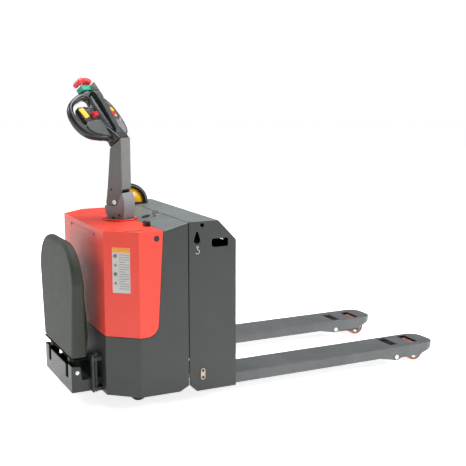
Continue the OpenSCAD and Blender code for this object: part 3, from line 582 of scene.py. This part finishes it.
class TRUCK_OT_platform(bpy.types.Operator):
    """Make the folding platform, its mat and its hinge bracket"""

    bl_idname = "truck.platform"
    bl_label = "Folding platform"

    ear_rise = 73 * MM  # foot of the deck above the ears' lowest point
    end_thick = 40 * MM
    foot_share = 0.86  # width at the hinge over the full width
    heel = 24 * MM  # radius of the corners at the hinge
    rim_steps = 8
    mat_rise = 90 * MM
    ribs = 9
    first_rib = 60 * MM
    rib_pitch = 35 * MM

    def execute(self, context):
        self.deck()
        finished(softened("hinge_bracket", "platform_bracket", sizes().sheet_edge),
                 "chassis", "body_paint", body_paint(), "platform_bracket")
        finished(softened("posts", "platform_posts", 1.2 * MM), "chassis", "frame_paint",
                 dark_metal(), "platform_posts")
        dress(bright_steel(), "platform_pin")
        self.mat()
        return {"FINISHED"}

    def deck(self):
        """The moulded deck, thinner toward its end, with rounded rims."""
        low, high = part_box("platform_deck")
        foot = low.z + self.ear_rise
        thick = high.x - low.x
        edge = sizes().deck_edge
        bm = bmesh.new()
        rings = []
        for inner in (False, True):
            for i in range(self.rim_steps + 1):
                turn = math.pi / 2 * i / self.rim_steps
                if inner:
                    turn = math.pi / 2 - turn
                depth = edge * (1 - math.cos(turn))
                points = []
                for y, z in inset(self.outline(foot, high), edge * (1 - math.sin(turn))):
                    share = (z - foot) / (high.z - foot)
                    back = thick + (self.end_thick - thick) * share
                    points.append((low.x + (back - depth if inner else depth), y, z))
                rings.append(ring_edges(bm, points))
        for first, second in zip(rings, rings[1:]):
            bmesh.ops.bridge_loops(bm, edges=first + second)
        for ring in (rings[0], rings[-1]):
            bmesh.ops.contextual_create(bm, geom=ring)
        finished(flat_faces(mesh_piece("deck", bm)), "platform", "deck_grey",
                 deck_plastic(), "platform_deck")
        self.ears(foot + 1 * MM)

    def outline(self, foot, high):
        """The deck's outline across and up: narrow at the hinge, round at its end."""
        corner = sizes().deck_corner
        narrow = self.foot_share * high.y
        half = list(arc((narrow - self.heel, foot + self.heel), self.heel, -90, 0, 8))
        half += list(arc((high.y - corner, high.z - corner), corner, 0, 90, 20))
        return half + [(-y, z) for y, z in reversed(half)]

    def ears(self, top):
        """The two hinge ears below the deck."""
        bm = bmesh.new()
        bm.from_mesh(FRAME["nodes"]["platform_deck"].data)
        bmesh.ops.remove_doubles(bm, verts=bm.verts, dist=MERGE)
        bmesh.ops.bisect_plane(bm, geom=bm.verts[:] + bm.edges[:] + bm.faces[:],
                               plane_co=(0, 0, top), plane_no=UP, clear_outer=True)
        finished(mesh_piece("deck_ears", bm), "platform", "deck_grey", deck_plastic())

    def mat(self):
        """A ribbed rubber mat on the face that the operator stands on."""
        low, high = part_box("platform_deck")
        foot = Vector((high.x, 0, low.z + self.mat_rise))
        crown = Vector((low.x + self.end_thick, 0, high.z))
        up = (crown - foot).normalized()
        across = Vector((0, 1, 0))
        place = axes_matrix(across, up, across.cross(up), foot)
        reach = (crown - foot).length
        half = [(180 * MM, 20 * MM), (205 * MM, reach * 0.6), (160 * MM, reach * 0.84),
                (70 * MM, reach * 0.93)]
        outline = [(-180 * MM, 20 * MM)] + half + [(-x, y) for x, y in reversed(half[1:])]
        finished(plate("standing_mat", [outline], 5 * MM, 2 * MM, place, -1 * MM),
                 "platform", "drive_rubber", black_rubber())
        for i in range(self.ribs):
            at = place @ Matrix.Translation((0, self.first_rib + i * self.rib_pitch, 4.5 * MM))
            finished(block(f"mat_rib_{i}", (300 * MM, 12 * MM, 4 * MM), at, 1.8 * MM),
                     "platform", "drive_rubber", black_rubber())


# ---- Tiller


class TRUCK_OT_tiller(bpy.types.Operator):
    """Make the tiller arm, its knuckle and its covers"""

    bl_idname = "truck.tiller"
    bl_label = "Tiller arm"

    def execute(self, context):
        edge = sizes().arm_edge
        finished(softened("arm", "tiller_arm", edge, 4), "tiller", "tiller_grey",
                 tiller_paint(), "tiller_arm")
        finished(softened("knuckle", "tiller_knuckle", 3 * MM), "steering", "tiller_grey",
                 tiller_paint(), "tiller_knuckle")
        finished(softened("knuckle_housing", "knuckle_cover", 2.5 * MM), "steering",
                 "tiller_grey", knuckle_paint(), "knuckle_cover")
        self.screws()
        dress(bright_steel(), "tilt_pin")
        dress(dark_metal(), "steering_column")
        return {"FINISHED"}

    def screws(self):
        """Two dark screws on each cheek of the knuckle's housing."""
        place = tiller_place()
        for side in (-1, 1):
            for i, (x, z) in enumerate(((-6, -64), (26, -53))):
                at = place @ Vector((x * MM, side * 38 * MM, z * MM))
                axis = place.to_3x3() @ Vector((0, side, 0))
                outline = [(0, 0), (5 * MM, 0), (4.4 * MM, 3 * MM), (1.8 * MM, 3.4 * MM),
                           (1.8 * MM, 1.6 * MM), (0, 1.6 * MM)]
                head = turned(f"housing_screw_{side_name(side)}_{i}", outline, at, axis,
                              steps=24, start=UP)
                finished(head, "steering", "black_screws", black_trim())


class TRUCK_OT_head(bpy.types.Operator):
    """Make the control head with its grips, wedges, buttons and belly switch"""

    bl_idname = "truck.head"
    bl_label = "Control head"

    # Outlines in millimetres: X outward from the middle plane, Y up the head.
    rim = [(-9, 6), (36, 3), (50, 22), (92, 37), (136, 60), (160, 96), (167, 140),
           (159, 185), (136, 218), (98, 242), (52, 256), (-9, 258)]
    gap = [(124, 122), (137, 134), (139, 158), (133, 186), (115, 207), (80, 221), (44, 223),
           (37, 208), (46, 192), (66, 184), (85, 193), (106, 197), (119, 180), (123, 150)]
    panel = [(10, 24), (42, 32), (82, 48), (114, 72), (124, 98), (116, 112), (84, 116),
             (40, 115), (10, 115)]
    brow = [(10, 168), (36, 170), (62, 176), (84, 184), (86, 190), (62, 184), (40, 186),
            (10, 190)]

    loop_thick = 34 * MM
    panel_edge = 2.5 * MM
    panel_base = 13 * MM

    def execute(self, context):
        place = head_place()
        for side in (-1, 1):
            self.half(folded(place, side), side)
        self.neck(place)
        self.spine(place)
        self.controls()
        self.belly(place)
        return {"FINISHED"}

    def outline(self, side, points, shrink):
        """An outline of one side in metres, moved inward by shrink."""
        return inset([(side * x * MM, y * MM) for x, y in points], shrink)

    def half(self, place, side):
        """One grip loop with the panel below its wedge and the brow above it."""
        edge = sizes().loop_edge
        outlines = [self.outline(side, self.rim, edge), self.outline(side, self.gap, -edge)]
        loop = plate("grip_loop_" + side_name(side), outlines, self.loop_thick, edge, place,
                     -self.loop_thick / 2)
        covered = ("head_shell",) if side < 0 else ()
        # The loop takes the lighter copy on the left as a painted highlight, the darker copy on
        # the right as painted shade.
        finished(loop, "tiller", "head_black", grip_plastic(side), *covered)
        for part, points, thick in (("panel", self.panel, 8 * MM), ("brow", self.brow, 6 * MM)):
            piece = plate(f"head_{part}_{side_name(side)}",
                          [self.outline(side, points, self.panel_edge)], thick,
                          self.panel_edge, place, self.panel_base)
            # Panel and brow take the lighter copy on the left as a painted highlight, the
            # darker copy on the right as painted shade.
            finished(piece, "tiller", "spine_grey", panel_plastic(side))

    def neck(self, place):
        """The tapered socket that the arm runs into."""
        bm = bmesh.new()
        bmesh.ops.create_cube(bm, size=1)
        tall = 74 * MM
        bmesh.ops.scale(bm, vec=(72 * MM, tall, 69 * MM), verts=bm.verts)
        bmesh.ops.translate(bm, vec=(0, tall / 2, 0), verts=bm.verts)
        top = [vert for vert in bm.verts if vert.co.y > tall / 2]
        bmesh.ops.scale(bm, vec=(1.3, 1, 0.44), verts=top)
        bmesh.ops.bevel(bm, geom=bm.edges[:], offset=8 * MM, segments=4, profile=0.5,
                        affect="EDGES", material=-1)
        finished(flat_faces(mesh_piece("head_neck", bm, place)), "tiller", "head_black",
                 grip_plastic())

    def spine(self, place):
        """The ridge, a black sheet of painted shade on its right side face, and the bracket
        beside it.
        """
        finished(softened("spine", "head_spine", 5 * MM, 4), "tiller", "spine_grey",
                 panel_plastic(), "head_spine")
        # A thin sheet of the darkest grip plastic laid on the ridge's side face as painted
        # shade.
        shade_sheet_outline = [(40, 14), (238, 14), (234, 38), (215, 41), (90, 34), (42, 26)]
        face = place @ axes_matrix(Vector((0, 1, 0)), UP, Vector((1, 0, 0)),
                                   Vector((-19.5 * MM, 0, 0)))
        finished(plate("spine_shade_sheet", [[(y * MM, z * MM) for y, z in shade_sheet_outline]], 3 * MM,
                       1 * MM, face), "tiller", "head_black", grip_plastic())
        finished(softened("bracket", "head_bracket", 0.8 * MM), "tiller", "bracket_grey",
                 surface("bracket paint", (0.42, 0.42, 0.4), rough=0.4, mottle=0.1),
                 "head_bracket")

    def controls(self):
        """The throttle wedges and the two push buttons."""
        for side in ("left", "right"):
            finished(softened("wedge_" + side, "throttle_knob_" + side, 3.5 * MM, 4),
                     "throttle", "knob_red", knob_plastic(), "throttle_knob_" + side)
        for name, body, node in (("lift", "lift_switch", "lift_button"),
                                 ("horn", "horn_switch", "horn_button")):
            finished(softened(name + "_cap", node, 2 * MM), body, "button_yellow",
                     button_plastic(), node)
        dress(bright_steel(), "throttle_shaft")

    def belly(self, place):
        """A domed cap over a narrower collar."""
        edge, thick = 9 * MM, 46 * MM
        cap = [(-47 * MM, 303 * MM), (0, 303 * MM), (47 * MM, 303 * MM)]
        cap += [(x * MM, y * MM) for x, y in arc((0, 272), 54, 44, 136, 10)]
        dome = plate("belly_cap", [inset(cap, edge)], thick, edge, place, -thick / 2)
        finished(dome, "belly_switch", "belly_red", belly_plastic(), "belly_button")
        finished(softened("belly_collar", "belly_base", 2 * MM), "tiller", "belly_green",
                 collar_plastic(), "belly_base")


# ---- Dash, wheels and inner parts


class TRUCK_OT_dash(bpy.types.Operator):
    """Make the round guard, the gauge, the key and the small parts on the dash"""

    bl_idname = "truck.dash"
    bl_label = "Dash details"

    def execute(self, context):
        self.guard()
        self.marks()
        dress(bright_steel(), "key", "key_switch")
        dress(black_trim(), "charge_gauge")
        return {"FINISHED"}

    def marks(self):
        """The connector beside the dash, and black strips on the cover's top that paint the
        shade in its two slots.
        """
        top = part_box("drive_cover")[1].z
        # Each slot is a thin black strip on the cover's top: painted shade where the moulding
        # has a recess.
        for name, start, end, width in (("long", (-663, -309), (-590, -332), 9),
                                        ("short", (-700, -254), (-682, -266), 7)):
            first, last = Vector(start) * MM, Vector(end) * MM
            run = (last - first).normalized()
            middle = (first + last) / 2
            place = axes_matrix(run.to_3d(), Vector((-run.y, run.x, 0)), UP,
                                Vector((middle.x, middle.y, top)))
            finished(block("cover_slot_shade_" + name, ((last - first).length, width * MM,
                     1.2 * MM), place, 0.5 * MM, 2), "chassis", "black_screws",
                     black_trim())
        at = Matrix.Translation(Vector((-536 * MM, -227 * MM, top + 9 * MM)))
        finished(block("connector", (22 * MM, 34 * MM, 22 * MM), at, 3 * MM), "chassis",
                 "black_screws", black_trim())

    def guard(self):
        """A half-round yellow panel in a black rim, with a thin tan ring on the rim as a
        painted highlight.
        """
        low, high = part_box("round_guard")
        radius = (high.x - low.x) / 2
        centre = Vector(((low.x + high.x) / 2, (low.y + high.y) / 2, high.z - radius))
        half = (high.y - low.y) / 2
        turn = dict(centre=centre, axis=(0, -1, 0), start=(1, 0, 0), angle=math.pi, steps=48)
        inner = radius - 19 * MM
        rim = turned("guard_rim", rounded_ring(inner, radius, half, 4 * MM), **turn)
        finished(rim, "lid", "guard_yellow", black_trim(), "round_guard")
        # The tan ring is a painted highlight on the black rim, drawn in the retainers' tan
        # finish.
        line = turned("guard_highlight_ring", rounded_ring(radius - 10 * MM, radius - 7 * MM,
                      half + 0.6 * MM, 0.5 * MM), **turn)
        finished(line, "lid", "retainer_tan", tan_plate())
        face = turned("guard_face", [(0, 7 * MM), (0, -7 * MM), (inner, -6 * MM),
                      (inner, 6 * MM)], **turn)
        finished(face, "lid", "guard_yellow", button_plastic())
        at = Matrix.Translation(Vector((centre.x, centre.y, low.z + 4 * MM)))
        foot = block("guard_foot", (2 * radius - 4 * MM, 2 * half, 8 * MM), at, 2 * MM)
        finished(foot, "lid", "black_screws", black_trim())


class TRUCK_OT_wheels(bpy.types.Operator):
    """Make the drive wheel and the casters"""

    bl_idname = "truck.wheels"
    bl_label = "Drive wheel and casters"

    def execute(self, context):
        axis = joint_axis("drive_spin")
        centre = joint_at("drive_spin")
        low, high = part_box("drive_tyre")
        radius = (high.z - low.z) / 2
        tyre = turned("drive_tread", rounded_ring(radius - 25 * MM, radius, 37.5 * MM,
                      5 * MM), centre, axis, start=UP)
        finished(tyre, "drive_wheel", "drive_rubber", black_rubber(), "drive_tyre")
        dress(cast_iron(), "drive_hub")
        for side in ("left", "right"):
            low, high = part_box("caster_wheel_" + side)
            radius = (high.z - low.z) / 2
            roller = turned("caster_tread_" + side, rounded_ring(6.1 * MM, radius, 16 * MM,
                            5 * MM), (low + high) / 2, (0, 1, 0))
            finished(roller, "caster_roller_" + side, "drive_rubber", black_rubber(),
                     "caster_wheel_" + side)
            dress(dark_metal(), "caster_" + side)
        return {"FINISHED"}


class TRUCK_OT_inside(bpy.types.Operator):
    """Finish the parts inside the drive unit and the battery frame"""

    bl_idname = "truck.inside"
    bl_label = "Inner parts"

    def execute(self, context):
        dress(dark_metal(), "drive_plate", "guide_channels", "link_anchors",
              "lift_cylinders", "hydraulic_unit", "drive_motor")
        dress(cast_iron(), "drive_housing", "motor_brake", "motor_controller")
        dress(bright_steel(), "slewing_ring", "lift_rams")
        dress(black_trim(), "battery")
        return {"FINISHED"}


# ---- Labels


class TRUCK_OT_labels(bpy.types.Operator):
    """Add the plain labels and the hook sign"""

    bl_idname = "truck.labels"
    bl_label = "Labels"

    chamfer = Vector((111, -97, 0)).normalized()  # along the cover's right chamfer
    nose_y = -271 * MM  # where that chamfer leaves the cover's front
    bars = 15
    marks = 4

    def execute(self, context):
        self.hooks()
        self.cover_label()
        return {"FINISHED"}

    def hooks(self):
        """A plain hook sign under each lifting eye."""
        path = list(arc((0, 13), 3.6, -60, 240, 10)) + [(0, 9), (0, 3)]
        path += list(arc((0, -6), 8.5, 75, -165, 14))
        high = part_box("frame_sides")[1]
        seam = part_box("battery_lid")[0].x - 1 * MM
        for side in (-1, 1):
            place = side_place(side, seam + 37 * MM, high.z - 115 * MM, sizes().label_lift)
            bm = bmesh.new()
            ribbon(bm, [(x * MM, y * MM) for x, y in path], 2.2 * MM, 0.5 * MM)
            finished(mesh_piece("hook_sign_" + side_name(side), bm, place), "load_frame",
                     "bracket_grey", label_film())

    def cover_label(self):
        """A plain label with an orange head and grey bars on the right chamfer."""
        low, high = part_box("drive_cover")
        out = self.chamfer.cross(UP)
        nose = Vector((low.x, self.nose_y, 0))
        centre = nose + self.chamfer * 73 * MM + UP * (high.z - 152 * MM)
        place = axes_matrix(self.chamfer, UP, out, centre + out * sizes().label_lift)
        ground = block("cover_label", (74 * MM, 180 * MM, 0.6 * MM), place, 0.25 * MM, 1)
        finished(ground, "chassis", "bracket_grey", label_film())
        head = place @ Matrix.Translation((0, 80 * MM, 0.4 * MM))
        orange = surface("label orange", (0.85, 0.3, 0.02), rough=0.35, mottle=0.03)
        finished(block("label_head", (72 * MM, 18 * MM, 0.6 * MM), head, 0.25 * MM, 1),
                 "chassis", "guard_yellow", orange)
        grey = surface("label grey", (0.18, 0.18, 0.18), rough=0.4, mottle=0.05)
        lift = 0.35 * MM
        full, short = 42 * MM, 26 * MM
        for i in range(self.bars):
            width = full if i % 4 != 3 else short
            at = place @ Matrix.Translation((12 * MM - (full - width) / 2,
                                             (62 - i * 9.6) * MM, lift))
            finished(block(f"label_bar_{i}", (width, 2.4 * MM, 0.5 * MM), at, 0.2 * MM, 1),
                     "chassis", "black_screws", grey)
        for i in range(self.marks):
            at = place @ Vector((-24 * MM, (56 - i * 36) * MM, lift))
            disc = [(0, 0), (8 * MM, 0), (8 * MM, 0.3 * MM), (0, 0.3 * MM)]
            mark = turned(f"label_mark_{i}", disc, at, out, steps=3 if i % 2 else 24,
                          start=UP)
            finished(mark, "chassis", "black_screws", grey)


def ribbon(bm, path, width, height):
    """A flat strip of even width along a path of points."""
    rows = []
    for i, point in enumerate(path):
        before = Vector(path[max(i - 1, 0)])
        after = Vector(path[min(i + 1, len(path) - 1)])
        along = (after - before).normalized()
        side = Vector((-along.y, along.x)) * width / 2
        corners = [(point[0] + side.x, point[1] + side.y),
                   (point[0] - side.x, point[1] - side.y)]
        rows.append([bm.verts.new((x, y, z)) for z in (0, height) for x, y in corners])
    for first, second in zip(rows, rows[1:]):
        for a, b in ((0, 1), (1, 3), (3, 2), (2, 0)):
            bm.faces.new((first[a], first[b], second[b], second[a]))
    for row in (rows[0], rows[-1]):
        bm.faces.new([row[i] for i in (0, 1, 3, 2)])


# ---- Studio


class TRUCK_OT_studio(bpy.types.Operator):
    """Set up the pale floor, the soft lights and the camera"""

    bl_idname = "truck.studio"
    bl_label = "Studio"

    azimuth = -26.21
    elevation = 9.61
    distance = 4.075
    look_at = Vector((-0.0382, 0, 0.6207))
    lens = 70.05

    def execute(self, context):
        self.floor()
        self.camera(context)
        self.backdrop()
        self.softbox("Overhead", (0.3, 0.6, 5.0), (0.1, 0, 0.4), 3.6, 330)
        self.softbox("Right side", (5.0, -2.9, 2.4), (-0.1, 0, 0.4), 2.2, 270)
        self.softbox("Left side", (-4.0, 3.6, 3.4), (-0.5, 0, 0.5), 1.6, 100)
        world = context.scene.world or bpy.data.worlds.new("Studio")
        context.scene.world = world
        world.use_nodes = True
        sky = world.node_tree.nodes["Background"]
        sky.inputs["Color"].default_value = (1, 1, 1, 1)
        sky.inputs["Strength"].default_value = 0.2
        context.scene.view_settings.view_transform = "Standard"
        return {"FINISHED"}

    def glowing(self, material, strength):
        """Adds an even white glow to a material."""
        shader = material.node_tree.nodes["Principled BSDF"]
        shader.inputs["Emission Color"].default_value = (1, 1, 1, 1)
        shader.inputs["Emission Strength"].default_value = strength
        return material

    def floor(self):
        """A wide pale floor."""
        bm = bmesh.new()
        bmesh.ops.create_grid(bm, x_segments=1, y_segments=1, size=30)
        floor = mesh_piece("floor", bm)
        pale = surface("pale floor", (0.86, 0.86, 0.86), rough=0.7, mottle=0.01,
                       mottle_size=1.5, depth=0.02)
        floor.data.materials.append(self.glowing(pale, 0.82))

    def backdrop(self):
        """A wide white dome that only the camera sees."""
        bm = bmesh.new()
        bmesh.ops.create_uvsphere(bm, u_segments=48, v_segments=24, radius=28)
        dome = mesh_piece("backdrop", bm)
        white = surface("white backdrop", (0, 0, 0), rough=1, mottle=0, depth=0)
        dome.data.materials.append(self.glowing(white, 1.0))
        dome.visible_diffuse = False
        dome.visible_shadow = False
        dome.visible_glossy = False

    def softbox(self, name, at, toward, size, power):
        """A square soft light that faces a point."""
        light = bpy.data.lights.new(name, "AREA")
        light.size = size
        light.energy = power
        lamp = bpy.data.objects.new(name, light)
        lamp.location = at
        lamp.rotation_euler = (Vector(toward) - Vector(at)).to_track_quat("-Z", "Y").to_euler()
        bpy.context.scene.collection.objects.link(lamp)

    def camera(self, context):
        """The camera, turned and raised about the point it looks at."""
        turn, rise = math.radians(self.azimuth), math.radians(self.elevation)
        back = Vector((math.sin(turn) * math.cos(rise), -math.cos(turn) * math.cos(rise),
                       math.sin(rise)))
        data = bpy.data.cameras.new("Camera")
        data.lens = self.lens
        data.sensor_width = 36
        camera = bpy.data.objects.new("Camera", data)
        camera.location = self.look_at + back * self.distance
        camera.rotation_euler = (-back).to_track_quat("-Z", "Y").to_euler()
        context.scene.collection.objects.link(camera)
        context.scene.camera = camera


# ---- Panel and registration


STEPS = (TRUCK_OT_body, TRUCK_OT_cover, TRUCK_OT_forks, TRUCK_OT_platform, TRUCK_OT_tiller,
         TRUCK_OT_head, TRUCK_OT_dash, TRUCK_OT_wheels, TRUCK_OT_inside, TRUCK_OT_labels,
         TRUCK_OT_studio)


class TRUCK_PT_panel(bpy.types.Panel):
    """Lists the steps that finish the truck"""

    bl_idname = "TRUCK_PT_panel"
    bl_label = "Pallet truck"
    bl_space_type = "VIEW_3D"
    bl_region_type = "UI"
    bl_category = "Pallet truck"

    def draw(self, context):
        for step in STEPS:
            self.layout.operator(step.bl_idname)
        for name in TruckColours.__annotations__:
            self.layout.prop(context.scene.truck_colours, name)
        for name in TruckSizes.__annotations__:
            self.layout.prop(context.scene.truck_sizes, name)


CLASSES = (TruckColours, TruckSizes) + STEPS + (TRUCK_PT_panel,)


def register():
    for cls in CLASSES:
        bpy.utils.register_class(cls)
    bpy.types.Scene.truck_colours = bpy.props.PointerProperty(type=TruckColours)
    bpy.types.Scene.truck_sizes = bpy.props.PointerProperty(type=TruckSizes)


def unregister():
    del bpy.types.Scene.truck_sizes
    del bpy.types.Scene.truck_colours
    for cls in reversed(CLASSES):
        bpy.utils.unregister_class(cls)


def main():
    register()
    bpy.ops.truck.body()
    bpy.ops.truck.cover()
    bpy.ops.truck.forks()
    bpy.ops.truck.platform()
    bpy.ops.truck.tiller()
    bpy.ops.truck.head()
    bpy.ops.truck.dash()
    bpy.ops.truck.wheels()
    bpy.ops.truck.inside()
    bpy.ops.truck.labels()
    bpy.ops.truck.studio()


if __name__ == "__main__":
    main()
